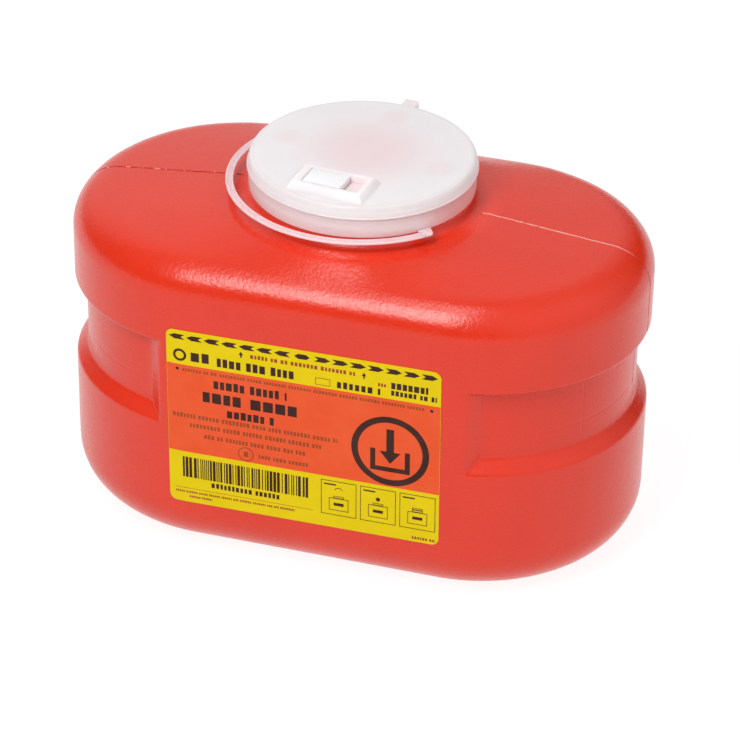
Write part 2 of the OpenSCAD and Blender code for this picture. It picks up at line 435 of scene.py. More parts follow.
def milky(name, base, subsurface=0.7):
    """Natural polypropylene, before its colour is laid out."""
    m = Nodes(name, 0.36, Subsurface_Weight=subsurface, Subsurface_Scale=0.006,
              Specular_IOR_Level=0.28)
    m.shader.inputs["Subsurface Radius"].default_value = (0.85, 0.8, 0.75)
    m.bump((m.noise(3.0, 2, 0.5), 0.012), (m.noise(0.5, 2, 0.5), 0.003))
    cloudy = m.remap(m.noise(22, 3, 0.5), 0.3, 0.7)
    paler = tuple(min(1.0, c * 1.025) for c in base)
    return m, m.blend(cloudy, base, paler)


def cap_plastic():
    """The lid, with painted light: the red of the bottle glowing through the milky plastic is
    painted pink in its middle, over the prongs and in the bezel's open part; its side band and rim
    are painted darker as shade.
    """
    m, colour = milky("cap_plastic", (0.85, 0.785, 0.795))
    # Painted light: the red glow seen through the milky lid, painted pink in the middle and in
    # spots over the windows.
    pink = (0.85, 0.59, 0.61)
    middle = m.remap(m.radius((1, 2)), 0.036, 0.006)
    colour = m.tint(colour, middle, 0.75, pink)
    for k in range(4):
        x, y = turned(WINDOW_R, 0, LID_TURN + radians(90 * k))
        spot = m.remap(m.radius((x, y)), 0.0085, 0.0025)
        colour = m.tint(colour, spot, 0.33, pink)
    # Painted light: the red glow seen through the bezel's open part, painted pink.
    x, y = turned(RECESS_AT[0], RECESS_AT[1], LID_TURN)
    recess = m.remap(m.radius((x, y)), 0.0065, 0.003)
    colour = m.tint(colour, recess, 0.7, (0.93, 0.66, 0.64))
    # Painted shade and red glow: below the top, the side band and underside are painted darker and
    # pinker.
    below = m.remap(m.axis("Z"), CAP_Z * MM - 0.001, CAP_EDGE_Z * MM)
    colour = m.tint(colour, below, 0.55, (0.82, 0.68, 0.68))
    # Painted shade: a darker ring along the rounded top edge.
    edge, level = m.remap(m.radius(), 0.0405, 0.043), m.remap(m.axis("Z"), 0.1505, 0.1525)
    rim = m.math("MULTIPLY", edge, level)
    colour = m.tint(colour, rim, 0.8, (0.72, 0.64, 0.645))
    m.colour(colour)
    return m.material


def collar_plastic():
    """Painted light: the red glow that comes through the collar from the bottle, and its shade,
    make its colour: pink above, whiter below, pinker at the hem and inside, deep pink towards the
    right end.
    """
    m, colour = milky("collar_plastic", (0.92, 0.69, 0.69))
    # Painted light and shade: a pink band at the top.
    upper = m.remap(m.axis("Z"), 0.1440, 0.1468)
    colour = m.tint(colour, upper, 0.7, (0.84, 0.58, 0.58))
    # Painted light: pinker at the hem, over the red bottle.
    hem = m.remap(m.axis("Z"), 0.1412, 0.1403)
    colour = m.tint(colour, hem, 0.6, (0.80, 0.46, 0.46))
    # Painted shade and red glow: pinker inside.
    inner = m.remap(m.radius(), 0.0395, 0.036)
    colour = m.tint(colour, inner, 0.5, (0.80, 0.55, 0.55))
    # Painted shade and red glow: deep pink towards the right end.
    side = m.remap(m.axis("X"), 0.030, 0.043)
    colour = m.tint(colour, side, 0.55, (0.84, 0.33, 0.31))
    m.colour(colour)
    return m.material


def strap_plastic():
    m, colour = milky("strap_plastic", (0.76, 0.60, 0.63))
    m.colour(colour)
    return m.material


def slide_plastic():
    m, colour = milky("slide_plastic", (0.87, 0.86, 0.87), subsurface=0.5)
    m.colour(colour)
    return m.material


def print_material(name, base, other):
    """Label stock or ink: a faint uneven print and a satin film over it."""
    m = Nodes(name, 0.38, Specular_IOR_Level=0.06)
    uneven = m.remap(m.noise(9, 4, 0.6), 0.3, 0.7)
    m.colour(m.blend(uneven, base, other))
    m.bump((m.noise(14, 2, 0.5), 0.03), (m.noise(0.35, 1, 0.5), 0.002))
    return m.material


def floor_material():
    m = Nodes("floor_paint", 0.7, Specular_IOR_Level=0.1)
    speckle = m.remap(m.noise(30, 3, 0.5), 0.3, 0.7)
    m.colour(m.blend(speckle, (0.14, 0.14, 0.14), (0.15, 0.15, 0.15)))
    m.shader.inputs["Emission Color"].default_value = (1, 1, 1, 1)
    m.shader.inputs["Emission Strength"].default_value = 0.9
    return m.material


# ---------- bottle


def end_turns():
    """Turns from the face to the tip of an end, in degrees, closest at the recess's end."""
    low, high = INSERT_TURN - 1, INSERT_TURN + 1
    return (
        [0] + spread(0, 8, 4) + spread(8, 15.5, 24) + spread(15.5, low, 16)
        + spread(low, high, 8) + spread(high, 90, 15)
    )


def bottle_columns():
    """(x of the medial point, direction of the wall in degrees) anticlockwise from above."""
    straight = [mix(-HALF_STRAIGHT, HALF_STRAIGHT, i / 44) for i in range(1, 44)]
    quarter = end_turns()
    half = [t - 90 for t in quarter] + [90 - t for t in reversed(quarter[:-1])]
    columns = [(x, -90.0) for x in straight]
    columns += [(HALF_STRAIGHT, d) for d in half]
    columns += [(-x, 90.0) for x in straight]
    columns += [(-HALF_STRAIGHT, d + 180) for d in half]
    return columns


def oval(column, inset):
    """The point at this inset from the bottle's outside on one column."""
    medial, direction = column
    return on_circle((medial, 0), END_R - inset, radians(direction))


def bearing(column):
    """Direction of a column's outer point from the neck's axis."""
    x, y = oval(column, 0)
    return atan2(y, x)


def recess_inset(column, z):
    """How far the wall stands in at this height: the grip recess round each end."""
    across = abs(cos(radians(column[1])))
    along = abs(sin(radians(column[1])))
    x, y = (abs(c) for c in oval(column, 0))
    face_y = sqrt(END_R ** 2 - (RECESS_X - HALF_STRAIGHT) ** 2)
    run = min(face_y - y, RECESS_RUN)
    end = (x - RECESS_X - RECESS_LEAN * run) / (across + RECESS_LEAN * along)
    ledge = (z - LEDGE_OUTER_Z) * RECESS_DEPTH / (LEDGE_INNER_Z - LEDGE_OUTER_Z)
    ceiling = (RECESS_TOP_Z - z) * RECESS_DEPTH / RECESS_TOP_RISE
    depth = RECESS_DEPTH
    for limit in (end, ledge, ceiling):
        depth = soft_min(depth, limit, RECESS_SOFT)
    lip = mix(RECESS_SOFT * 0.8, LIP_SOFT, smoothstep((z - LIP_Z) / LIP_RISE))
    return max(soft_max(depth, 0.0, lip), 0.0)


def mould_marks(column, z):
    """Fine grooves: the mould's joint all round, and the insert's edge in one recess."""
    groove = 0.10 * exp(-((z - SEAM_Z) / GROOVE_W) ** 2)
    if column[0] > 0 and RECESS_TOP_Z - 4 > z > LEDGE_INNER_Z + 1:
        off = (90 + column[1] - INSERT_TURN) * radians(1) * END_R
        groove += 0.12 * exp(-(off / GROOVE_W) ** 2)
    return groove


def shoulder_height(inset):
    """Height of the shoulder's rounding at this inset from the outline."""
    lean = 1 - min(max(inset, 0), SHOULDER_IN) / SHOULDER_IN
    return SHOULDER_Z - SHOULDER_DROP * (1 - sqrt(1 - lean ** 2))


def inset_at(x, y):
    return END_R - hypot(max(abs(x) - HALF_STRAIGHT, 0), y)


def fall(turn):
    """Slope of the top along one direction from the neck, and where it meets the shoulder."""
    best, radius = (-inf, SEAT_R), SEAT_R + 2.0
    while (inset := inset_at(*on_circle((0, 0), radius, turn))) >= 0:
        best = max(best, ((shoulder_height(inset) - SEAT_Z) / (radius - SEAT_R), radius))
        radius += 0.25
    return best


FALLS = [fall(radians(k / 2)) for k in range(181)]


def top_height(x, y):
    """Height of the shoulder and of the top, which rises straight from it to the seat."""
    radius = hypot(x, y)
    turn = degrees(atan2(abs(y), abs(x))) * 2
    k = min(int(turn), len(FALLS) - 2)
    slope, reach = (mix(a, b, turn - k) for a, b in zip(FALLS[k], FALLS[k + 1]))
    if radius > reach:
        return shoulder_height(inset_at(x, y))
    valley = VALLEY_DEPTH * exp(-((radius - VALLEY_R) / VALLEY_W) ** 2)
    return SEAT_Z + slope * (max(radius, SEAT_R) - SEAT_R) - valley


def neck_rise(radius):
    """What the neck's flared root adds to the top's height, as a share of the way up."""
    u = min(max((radius - NECK_ROOT_R) / (SEAT_R - NECK_ROOT_R), 0), 1)
    return 1 - sqrt(max(1 - (1 - u) ** 2, 0))


def wall_heights():
    """Heights of the rings up the wall, closest at the ledge, the joint and the ceiling."""
    return (
        spread(FOOT_R, 56, 9) + spread(56, 65, 26) + spread(65, SEAM_Z - 0.8, 4)
        + spread(SEAM_Z - 0.8, SEAM_Z + 0.8, 8) + spread(SEAM_Z + 0.8, 89.5, 7)
        + spread(89.5, 95.5, 24) + spread(95.5, SHOULDER_Z - SHOULDER_DROP, 6)
    )


def ring_at(columns, z, inset):
    """A ring of the wall; inset is a number, or a function of the column and the height."""
    ring = []
    for column in columns:
        x, y = oval(column, inset(column, z) if callable(inset) else inset)
        ring.append((x, y, z))
    return ring


def base_rings(columns, t):
    """The underside and the rounded foot, moved in by t."""
    rings = [ring_at(columns, PUSH_UP + t, END_R - d) for d in (0, 12, 24, 36)]
    for k in range(7):
        share = k / 6
        inset = END_R - mix(RING_INNER - RING_RISE, RING_INNER, share)
        rings.append(ring_at(columns, t + PUSH_UP * (1 - smoothstep(share)), inset))
    for turn in spread(-7.5, 90, 13):
        a = radians(turn)
        inset = FOOT_R - (FOOT_R - t) * sin(a)
        rings.append(ring_at(columns, FOOT_R - (FOOT_R - t) * cos(a), inset))
    return rings


def shoulder_rings(columns, t, last_inset, steps):
    """From the wall's top edge inwards to last_inset, moved in by t."""
    lean = acos(1 - last_inset / SHOULDER_IN)
    rings = []
    for k in range(1, steps + 1):
        a = lean * k / steps
        inset = t + (SHOULDER_IN - t) * (1 - cos(a))
        z = SHOULDER_Z - SHOULDER_DROP + (SHOULDER_DROP - t) * sin(a)
        ring = ring_at(columns, z, inset)
        rings.append([(x, y, max(up, top_height(x, y) - t * 1.4)) for x, y, up in ring])
    return rings


def top_rings(columns, last_inset, radius, count, drop):
    """From the shoulder to a circle round the neck, over the sloping top."""
    rings = []
    for share in spread(0, 1, count):
        ring = []
        for column in columns:
            start, stop = oval(column, last_inset), on_circle((0, 0), radius, bearing(column))
            x, y = (mix(a, b, share) for a, b in zip(start, stop))
            ring.append((x, y, top_height(x, y) - drop))
        rings.append(ring)
    return rings


def circle_ring(columns, radius, height):
    """A ring about the neck's axis; height is a number, or a function of x and y."""
    ring = []
    for column in columns:
        x, y = on_circle((0, 0), radius, bearing(column))
        ring.append((x, y, height(x, y) if callable(height) else height))
    return ring


def root_height(x, y):
    """Height of the neck's flared root."""
    return mix(top_height(x, y), NECK_BASE_Z, neck_rise(hypot(x, y)))


def neck_rings(columns):
    """The flared root, the neck with its snap bead, the rim and the bore."""
    rings = [circle_ring(columns, r, root_height) for r in spread(SEAT_R, NECK_ROOT_R, 10, 0.7)]
    bead = [
        (NECK_R + 0.3, NECK_BASE_Z + 0.1), (NECK_R, NECK_BASE_Z + 0.5), (NECK_R, BEAD_Z - 1.1),
        (NECK_R + 0.5, BEAD_Z - 0.7), (BEAD_R, BEAD_Z - 0.3), (BEAD_R, BEAD_Z + 0.3),
        (NECK_R + 0.5, BEAD_Z + 1.0), (NECK_R, BEAD_Z + 1.4), (NECK_R, NECK_TOP_Z - 0.5),
        (NECK_R - 0.15, NECK_TOP_Z - 0.15), (NECK_R - 0.5, NECK_TOP_Z),
        (NECK_R - WALL + 0.5, NECK_TOP_Z), (NECK_R - WALL, NECK_TOP_Z - 0.5),
    ]
    rings += [circle_ring(columns, radius, z) for radius, z in bead]
    rings.append(circle_ring(columns, NECK_R - WALL, lambda x, y: top_height(x, y) + 1.5))
    rings.append(circle_ring(columns, NECK_R - WALL, lambda x, y: top_height(x, y) - WALL + 1))
    return rings


def bottle_mesh():
    """The bottle as one closed skin: outside from the base up to the neck, then inside."""
    columns = bottle_columns()
    turn_in = 14.0
    outer = base_rings(columns, 0)
    for z in wall_heights():
        outer.append(ring_at(columns, z, lambda c, h: recess_inset(c, h) + mould_marks(c, h)))
    outer += shoulder_rings(columns, 0, turn_in, 20)
    outer += top_rings(columns, turn_in, SEAT_R, 24, 0)
    neck = neck_rings(columns)
    inner = top_rings(columns, turn_in, NECK_R - WALL, 7, WALL)
    inner = shoulder_rings(columns, WALL, turn_in, 6) + inner
    walls = [h for h in wall_heights() if h < 65 or h > 90][::2]
    inner = [ring_at(columns, z, lambda c, h: recess_inset(c, h) + WALL) for z in walls] + inner
    inner = base_rings(columns, WALL)[::2] + inner
    mesh = loft("bottle_shell", outer + neck + list(reversed(inner)), capped=False, sharp=50)
    ripple(mesh)
    return mesh


def ripple(mesh):
    """Slow unevenness of a blown wall, most on the shoulder and none on the base and neck."""
    slow_mm, quick_mm = 0.09, 0.035
    moved = []
    for v in mesh.vertices:
        x, y, z = (c / MM for c in v.co)
        fade = smoothstep((z - 6) / 20) * smoothstep((hypot(x, y) - 46) / 10)
        slow = noise.noise(Vector((x, y, z)) / 21)
        quick = noise.noise(Vector((x, y, z)) / 7.5 + Vector((7, 3, 1)))
        moved.extend(v.co + v.normal * ((slow_mm * slow + quick_mm * quick) * fade * MM))
    mesh.vertices.foreach_set("co", moved)


def flash_mesh():
    """Ragged flash where the mould halves meet, over the top and down both ends."""
    draw = random.Random(4)
    points, faces = [], []
    for side in (-1, 1):
        path = []
        for k in range(101):
            x = mix(SEAT_R + 1.5, HALF_STRAIGHT + END_R - SHOULDER_IN, k / 100)
            path.append((x, root_height(x, 0), 0.0, 1.0))
        for k in range(1, 31):
            a = pi / 2 * (1 - k / 30)
            x = HALF_STRAIGHT + END_R - SHOULDER_IN * (1 - cos(a))
            z = SHOULDER_Z - SHOULDER_DROP * (1 - sin(a))
            lean = atan2(SHOULDER_IN * sin(a), SHOULDER_DROP * cos(a))
            path.append((x, z, cos(lean), sin(lean)))
        column = (side * HALF_STRAIGHT, 0 if side > 0 else 180)
        for k in range(1, 171):
            z = SHOULDER_Z - SHOULDER_DROP - k * 0.55
            path.append((HALF_STRAIGHT + END_R - recess_inset(column, z), z, 1.0, 0.0))
        ragged = 1.0
        for i, (x, z, nx, nz) in enumerate(path):
            ragged = mix(ragged, draw.uniform(0.3, 1.5), 0.4)
            fade = mix(0.06, 1.0, smoothstep((z - 123) / 8))
            proud = ((0.14 + 0.10 * ragged) if side > 0 else (0.12 + 0.09 * ragged)) * fade
            half = (0.20 + 0.12 * ragged if side > 0 else 0.21) * mix(0.6, 1.0, fade)
            wander = 0.25 * noise.noise(Vector((i * 0.11, side, 0)))
            start = len(points)
            crest = half * 0.45
            for across, up in ((-half, -0.4), (-crest, proud), (crest, proud), (half, -0.4)):
                points.append((side * (x + nx * up), wander + across, z + nz * up))
            if i:
                for k in range(4):
                    n = (k + 1) % 4
                    faces.append((start - 4 + k, start - 4 + n, start + n, start + k))
            else:
                faces.append((start + 3, start + 2, start + 1, start))
        last = len(points) - 4
        faces.append((last, last + 1, last + 2, last + 3))
    return mesh_from("parting_flash", points, faces, sharp=60)


# ---------- lid


def collar_mesh():
    """Collar with its skirt, rim, web, four lock windows and the funnel."""
    skirt_in, bead_gap, wall = NECK_R + 1.9, 0.5, 1.4
    outline = soften([
        (skirt_in + 0.2, COLLAR_Z), (COLLAR_R, COLLAR_Z), (COLLAR_R, WEB_Z - 0.5),
        (RIM_R, WEB_Z - 0.5), (RIM_R, RIM_Z), (RIM_R - wall, RIM_Z), (RIM_R - wall, WEB_Z),
        (MOUTH_R, WEB_Z), (DROP_R, FUNNEL_Z), (DROP_R + 1.5, FUNNEL_Z),
        (MOUTH_R + 1.5, NECK_TOP_Z), (skirt_in, NECK_TOP_Z), (skirt_in, 142.6),
        (NECK_R + bead_gap, 142.0), (NECK_R + bead_gap, 141.2),
    ], [0.15, 0.35, 0.35, 0.25, 0.4, 0.4, 0.3, 1.6, 0.5, 0.5, 0.4, 0.3, 0.2, 0.2, 0.2])
    cuts = []
    half_d, half_w = WINDOW_D / 2, WINDOW_W / 2
    for k in range(4):
        cut = rounded_block(
            "cut", (WINDOW_R - half_d, WINDOW_R + half_d), (-half_w, half_w),
            (WEB_Z - 3, WEB_Z + 3), edge=0.2, corner=0.5)
        cuts.append(turn_mesh(cut, radians(90 * k)))
    mesh = combine("snap_collar", lathe("collar", outline), cuts, "DIFFERENCE")
    return turn_mesh(mesh, LID_TURN)


def cap_shell():
    """The cap's disc, rounded edge, band with a lower lip, skirt and plug ring."""
    inner_r = CAP_R - 2.4
    corners = [
        (0, CAP_Z, 0), (43.0, CAP_Z - 0.02, 1.1), (43.75, CAP_Z - 1.3, 0.6),
        (CAP_R - 0.3, CAP_EDGE_Z + 0.85, 0.2), (CAP_R, CAP_EDGE_Z + 0.62, 0.16),
        (CAP_R, CAP_EDGE_Z, 0.2), (inner_r, CAP_EDGE_Z, 0.2), (inner_r, CAP_UNDER_Z, 0.5),
        (PLUG_R, CAP_UNDER_Z, 0.4), (PLUG_R, PLUG_Z, 0.5), (PLUG_R - 1.6, PLUG_Z, 0.3),
        (PLUG_R - 1.6, CAP_UNDER_Z, 0.4), (0, CAP_UNDER_Z, 0),
    ]
    outline = soften([c[:2] for c in corners], [c[2] for c in corners], steps=5)
    return lathe("shell", outline)


def bezel_mesh():
    """Frame round the slide: a foot fillet, sloping sides, rounded lips and an open middle."""
    sunk = 0.5
    slope = (BEZEL_BASE[0] - BEZEL_TOP_X) / 2
    profile = (
        (-0.9, -sunk), (-0.9, 0.0), (-0.4, 0.13), (-0.05, 0.38), (0.2, 0.75),
        (slope * 0.80, BEZEL_H - 0.55), (slope * 0.93, BEZEL_H - 0.2),
        (slope * 1.1, BEZEL_H - 0.04), (slope + 0.45, BEZEL_H),
    )
    rings = [bezel_ring(inset, z) for inset, z in profile]
    for grow, z in ((0.3, BEZEL_H), (0.1, BEZEL_H - 0.1), (0.0, BEZEL_H - 0.35), (0.0, -sunk)):
        x = (OPENING_X[0] - grow, OPENING_X[1] + grow)
        y = (OPENING_Y[0] - grow, OPENING_Y[1] + grow)
        rings.append(rounded_rectangle(x, y, 0.4 + grow, CAP_Z + z))
    return loft("bezel", rings, closed=True)


def bezel_ring(inset, z):
    """A ring of the bezel's outside; z is above the cap."""
    half_x, half_y = BEZEL_BASE[0] / 2 - inset, BEZEL_BASE[1] / 2 - inset
    return rounded_rectangle(
        (-half_x, half_x), (BEZEL_Y - half_y, BEZEL_Y + half_y), 0.7, CAP_Z + z)


def cap_mesh():
    """The whole cap: shell, bezel, hinge tab and three prongs, with the slide's slot cut."""
    parts = [bezel_mesh()]
    parts.append(rounded_block(
        "tab", (-TAB_HALF, TAB_HALF), (42.6, TAB_Y), (TAB_Z, TAB_TOP_Z), edge=0.45, corner=0.9))
    for k in range(3):
        prong = rounded_block(
            "prong", (WINDOW_R - 1.2, WINDOW_R + 1.2), (-3, 3), (PRONG_Z, CAP_UNDER_Z + 0.4),
            edge=0.4, corner=0.5)
        parts.append(turn_mesh(prong, radians(90 * k)))
    joined = combine("joined", cap_shell(), parts, "UNION")
    slot = rounded_block("slot", SLOT_X, SLOT_Y, (CAP_UNDER_Z - 1, CAP_Z + 0.5), 0.1, 0.4)
    return turn_mesh(combine("lid_cap", joined, [slot], "DIFFERENCE"), LID_TURN)


def slide_mesh():
    """The slide: a finger block over the cap, and below it a shank, a keeper and a hook."""
    parts = [
        rounded_block(
            "shank", SHANK_X, SHANK_Y, (HOOK_Z[0] + 0.1, BLOCK_Z[0] + 0.5), edge=0.1, corner=0.2),
        rounded_block("hook", (SHANK_X[0], HOOK_X), SHANK_Y, HOOK_Z, edge=0.3, corner=0.3),
        rounded_block("keeper", KEEPER_X, KEEPER_Y, KEEPER_Z, edge=0.2, corner=0.4),
    ]
    block = rounded_block("block", BLOCK_X, BLOCK_Y, BLOCK_Z, edge=0.4, corner=0.5)
    return turn_mesh(combine("lock_slide_block", block, parts, "UNION"), LID_TURN)


# ---------- tether


def strap_stop():
    """Angle and radius, about the strap's centre, of its end beside the hinge tab."""
    x, y = turned(-TAB_HALF - STRAP_GAP, HINGE_Y, LID_TURN)
    dx, dy = x - STRAP_CENTRE[0], y - STRAP_CENTRE[1]
    return degrees(atan2(dy, dx)) - 360, hypot(dx, dy)


def strap_line(angle):
    """Radius and height of the strap's middle at an angle about its centre."""
    stop, stop_r = strap_stop()
    share = smoothstep((STRAP_LEAVE - angle) / (STRAP_LEAVE - stop))
    return mix(STRAP_R, stop_r, share), mix(STRAP_Z, HINGE_Z, share)


def strap_section():
    """(across, up) outline of the strap: a flat channel between two raised edges."""
    half, thick = STRAP_W / 2, STRAP_T / 2
    lip, floor = 0.62, thick - 0.32
    return soften([
        (-half, -thick), (half, -thick), (half, thick), (half - lip, thick),
        (half - lip - 0.2, floor), (-half + lip + 0.2, floor), (-half + lip, thick),
        (-half, thick),
    ], 0.2, steps=2)


def strap_mesh():
    """The strap from its root on the collar, round the lid, and up to the hinge tab."""
    stop = strap_stop()[0]
    section = strap_section()
    rings = []
    steps = 200
    for i in range(steps + 1):
        angle = mix(STRAP_START, stop, i / steps)
        radius, z = strap_line(angle)
        a = radians(angle)
        rings.append([
            (*on_circle(STRAP_CENTRE, radius + across, a), z + up) for across, up in section
        ])
    return loft("strap_band", rings)


def strap_root_mesh():
    """The hairpin root: the strap's start folded back, round its tip, onto the collar."""
    notch, tip = radians(STRAP_START - 0.6), radians(STRAP_TIP)
    reach = STRAP_R + STRAP_W / 2

    def on_strap(angle):
        return on_circle(STRAP_CENTRE, reach, angle)

    def on_collar(angle):
        return on_circle((0, 0), COLLAR_R - 0.3, angle)

    outline = [
        on_strap(notch), on_strap((notch + tip) / 2), on_strap(tip),
        on_collar(tip + 0.045), on_collar((notch + tip) / 2), on_collar(notch - 0.012),
    ]
    outline = soften(outline, [0.0, 0.3, 1.9, 0.4, 0.3, 0.0], steps=6)
    centre = Vector(on_strap((notch + tip) / 2)) * 0.97
    rings = []
    lower = ((0.94, -1.0), (0.985, -0.85), (1.0, -0.5))
    for shrink, up in lower + tuple((shrink, -up) for shrink, up in reversed(lower)):
        rings.append([
            (mix(centre.x, x, shrink), mix(centre.y, y, shrink), STRAP_Z + up * STRAP_T / 2)
            for x, y in outline
        ])
    return loft("strap_root", rings, sharp=60)


# ---------- label


def on_face(x, z, proud):
    """The point on the bottle's front face in front of x and z."""
    past = max(abs(x) - HALF_STRAIGHT, 0)
    return x, -sqrt((END_R + proud) ** 2 - past ** 2), z


def label_piece(name, shapes, proud, thick, material, replaced=()):
    """Flat shapes in label coordinates, laid on the bottle's face as thin solids."""
    bm = bmesh.new()
    for shape in shapes:
        bm.faces.new([bm.verts.new((u, 0, v)) for u, v in shape])
    bmesh.ops.remove_doubles(bm, verts=bm.verts, dist=0.001)
    turn = Matrix.Rotation(-LABEL_TURN, 3, "Y")
    bmesh.ops.rotate(bm, verts=bm.verts, cent=(0, 0, 0), matrix=turn)
    shift = Vector((LABEL_CENTRE[0], 0, LABEL_CENTRE[1]))
    bmesh.ops.translate(bm, verts=bm.verts, vec=shift)
    for cut in range(-58, 59, 2):
        if abs(cut) > HALF_STRAIGHT - 2:
            geometry = bm.verts[:] + bm.edges[:] + bm.faces[:]
            bmesh.ops.bisect_plane(bm, geom=geometry, plane_co=(cut, 0, 0), plane_no=(1, 0, 0))
    bm.verts.index_update()
    count = len(bm.verts)
    points = [on_face(v.co.x, v.co.z, out) for out in (proud, proud - thick) for v in bm.verts]
    faces = [[v.index for v in face.verts] for face in bm.faces]
    faces += [[i + count for i in face[:1] + face[:0:-1]] for face in faces]
    for edge in bm.edges:
        if edge.is_boundary:
            a, b = (v.index for v in edge.verts)
            faces.append((a, b, b + count, a + count))
    bm.free()
    mesh = mesh_from(name, points, faces, SHARP)
    return make_object(name, mesh, "bottle", material, replaced)


def bar(u, v, width, height):
    """A rectangle from its lower left corner."""
    return [(u, v), (u + width, v), (u + width, v + height), (u, v + height)]


def ring_shapes(centre, inner, outer, steps, start=0, stop=360):
    """A ring, or an arc of one, as short four-cornered pieces."""
    shapes = []
    for i in range(steps):
        a = radians(mix(start, stop, i / steps))
        b = radians(mix(start, stop, (i + 1) / steps))
        corners = ((inner, a), (outer, a), (outer, b), (inner, b))
        shapes.append([on_circle(centre, r, t) for r, t in corners])
    return shapes


def disc(centre, radius):
    steps = 24
    return [[on_circle(centre, radius, tau * i / steps) for i in range(steps)]]


def greeker(draw, shapes):
    """A function that adds a line of plain upright blocks, in place of print, to shapes."""
    def line(u, v, width, height, letter=0.62, gap=0.26, word=6):
        at, left = u, draw.randint(3, word)
        while at < u + width - 0.01:
            if left == 0:
                left = draw.randint(2, word)
                at += letter * height * 0.8
                continue
            wide = min(letter * height * draw.uniform(0.75, 1.15), u + width - at)
            tall = height * draw.choice((0.92, 0.92, 1.0))
            shapes.append(bar(at, v, wide, tall))
            at += wide + gap * height
            left -= 1
    return line


def outline_box(u, v, width, height, line):
    """A rectangle's outline."""
    return [
        bar(u, v, width, line), bar(u, v + height - line, width, line),
        bar(u, v + line, line, height - 2 * line),
        bar(u + width - line, v + line, line, height - 2 * line),
    ]


def film_outline():
    """The label's outline with rounded corners."""
    half_w, half_h = LABEL_W / 2, LABEL_H / 2
    ring = rounded_rectangle((-half_w, half_w), (-half_h, half_h), LABEL_CORNER, 0, steps=8)
    return [(x, y) for x, y, _ in ring]


PANEL_V = (-15.6, 23.8)                   # the orange panel's lower and upper edge


def chevron_shapes():
    """Arrows along the top edge, pointing outwards from a double-ended one."""
    shapes = []
    v, pitch, length, half = 36.0, 7.02, 6.3, 1.05
    for k in range(7):
        for way in (-1, 1):
            tip = way * (53.2 - pitch * k)
            tail = tip - way * length
            notch = tail + way * 1.6
            shoulder = tip - way * 2.1
            upper = [(tip, v), (shoulder, v + half), (tail, v + half), (notch, v)]
            lower = [(tip, v), (notch, v), (tail, v - half), (shoulder, v - half)]
            shapes += [upper, lower]
    for way in (-1, 1):
        shapes.append([(0, v - half), (0, v + half), (way * 1.6, v + half),
                       (way * 3.1, v), (way * 1.6, v - half)])
    return shapes


def up_arrow(u, v, size):
    return [
        bar(u - size * 0.11, v, size * 0.22, size * 0.5),
        [(u - size * 0.36, v + size * 0.45), (u + size * 0.36, v + size * 0.45),
         (u, v + size)],
    ]


def drop_symbol(centre, radius):
    """An arrow that goes down into an open tray, inside a ring."""
    cu, cv = centre
    line = radius * 0.13
    tray_w, tray_h = radius * 1.02, radius * 0.5
    base = cv - radius * 0.6
    shapes = ring_shapes(centre, radius - line * 1.3, radius, 72)
    left, right = cu - tray_w / 2, cu + tray_w / 2 - line
    head, neck = radius * 0.27, cv - radius * 0.02
    return shapes + [
        bar(left, base, tray_w, line), bar(left, base + line, line, tray_h),
        bar(right, base + line, line, tray_h),
        bar(cu - line * 0.75, neck, line * 1.5, radius * 0.66),
        [(cu - head, neck), (cu + head, neck), (cu, cv - radius * 0.36)],
    ]


def step_pictures():
    """Three outlined boxes, each with a small container and a fill bar."""
    line = 0.22
    shapes = []
    for k in range(3):
        u, v = 7.4 + 15.75 * k, -33.0
        shapes += outline_box(u, v, 14.2, 15.6, line)
        shapes += outline_box(u + 3.2, v + 2.2, 7.8, 5.6, line)
        shapes += outline_box(u + 5.0, v + 7.8, 4.2, 1.0, line)
        shapes.append(bar(u + 5.1, v + 4.4, 4.0, 1.3))
        if k == 0:
            shapes += ring_shapes((u + 7.1, v + 11.0), 1.5, 1.75, 12, 20, 160)
        if k == 1:
            shapes += disc((u + 7.1, v + 10.6), 0.85)
        if k == 2:
            shapes += outline_box(u + 5.0, v + 8.8, 4.2, 0.9, line)
        shapes.append(bar(u + 1.2, v + 13.6, 4.8, 0.6))
    return shapes


def ink_shapes():
    """Bold print and the marks on the yellow film and the orange panel."""
    draw = random.Random(11)
    shapes = chevron_shapes()
    line = greeker(draw, shapes)
    shapes += up_arrow(-24.3, 31.2, 2.6) + up_arrow(24.4, 30.9, 2.6)
    shapes += ring_shapes((-49.0, 28.0), 1.7, 2.7, 32)
    line(-44.5, 25.9, 8.2, 4.2, letter=0.72)
    line(-34.0, 25.4, 32.6, 3.7, letter=0.52, gap=0.2, word=9)
    line(13.8, 24.9, 17.0, 2.9, letter=0.55, gap=0.3, word=9)
    line(35.1, 28.5, 14.4, 2.9, letter=0.62, gap=0.2, word=9)
    line(35.1, 25.6, 17.8, 2.1, letter=0.6)
    line(-35.5, 15.3, 29.3, 3.7, letter=0.55, gap=0.2, word=12)
    line(-40.0, 8.6, 37.9, 4.9, letter=0.74, gap=0.2, word=12)
    line(-30.3, 3.1, 19.2, 3.4, letter=0.58, gap=0.2, word=12)
    shapes += drop_symbol((34.9, 0.4), 15.4)
    shapes += disc((-50.1, 21.8), 0.65) + disc((51.0, 21.5), 0.65)
    at = -48.8
    while at < 1.8:
        wide = draw.choice((0.38, 0.38, 0.75, 1.1))
        shapes.append(bar(at, -27.2, min(wide, 2.2 - at), 9.2))
        at += wide + draw.choice((0.4, 0.4, 0.8))
    line(-37.2, -30.4, 28.3, 2.2, letter=0.55, gap=0.28, word=12)
    shapes += step_pictures()
    return shapes


